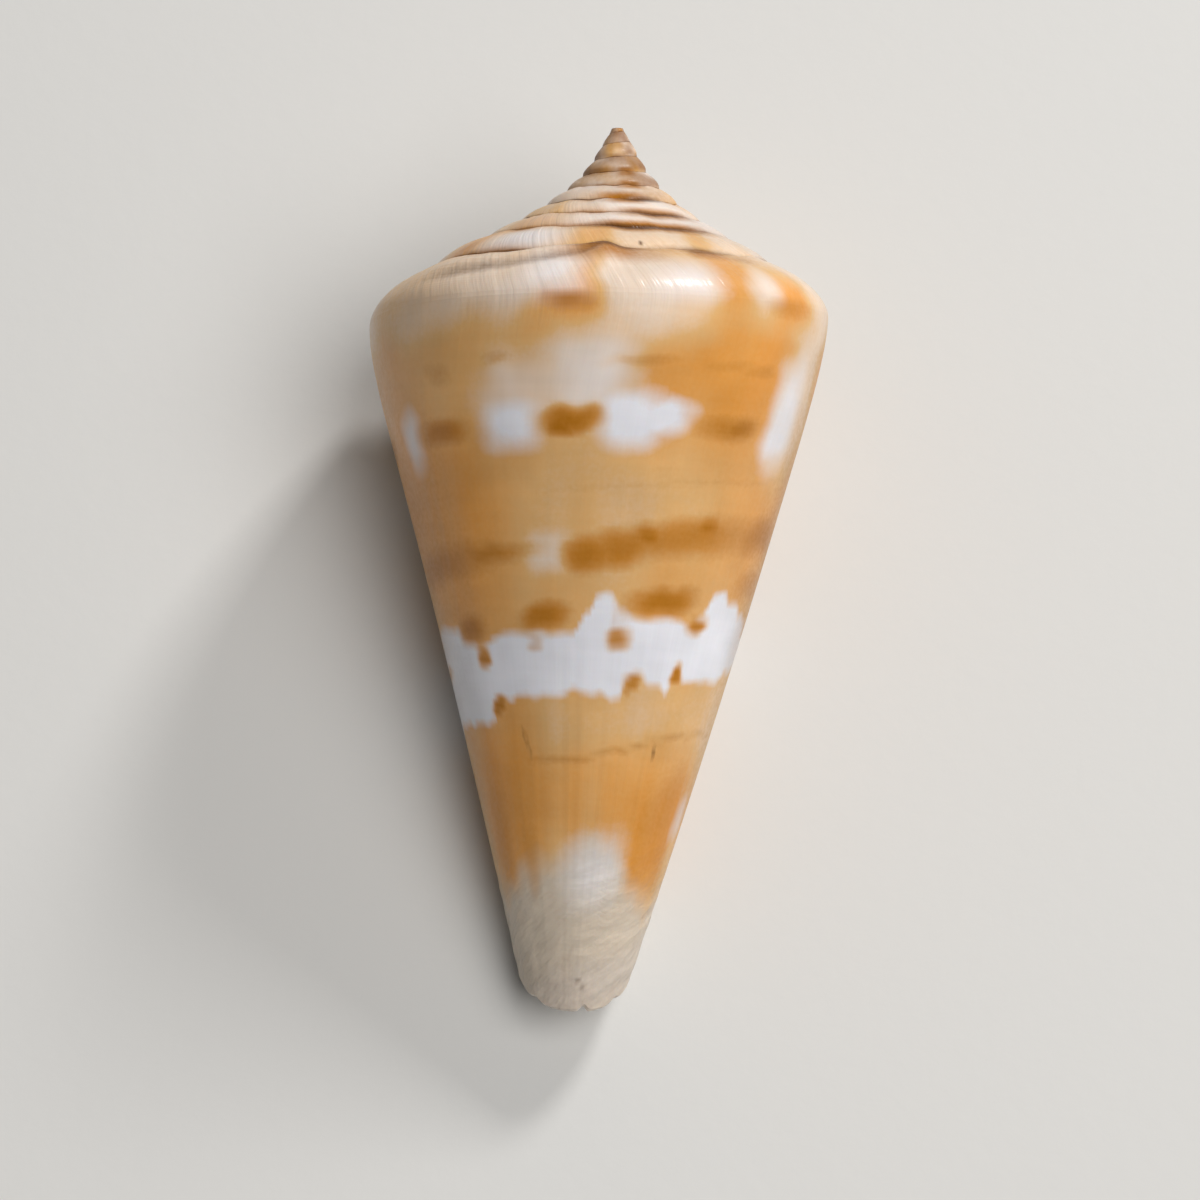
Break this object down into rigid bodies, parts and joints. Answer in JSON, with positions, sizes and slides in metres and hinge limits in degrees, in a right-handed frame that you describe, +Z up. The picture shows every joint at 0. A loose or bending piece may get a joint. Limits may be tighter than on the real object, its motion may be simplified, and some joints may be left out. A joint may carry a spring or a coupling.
{
  "type": "cone shell",
  "caption": "Empty sea snail shell: a tall tapering cone with a rounded shoulder, a low stepped spire and a long narrow mouth, lying on its mouth.",
  "frame": {"origin": "under the middle of the bounding box, on the plane that the shell rests on", "axes": "+Z up, away from the mouth; +Y along the shell towards the tip of its spire; +X to the right of someone above it who faces +Y"},
  "size_m": [0.0336, 0.064, 0.0303],
  "materials": {
    "shell": "smooth natural shell with a soft polish, tan and orange with white bands and brown spots"
  },
  "bodies": {
    "root": {"shell": "shell"}
  },
  "joints": []
}
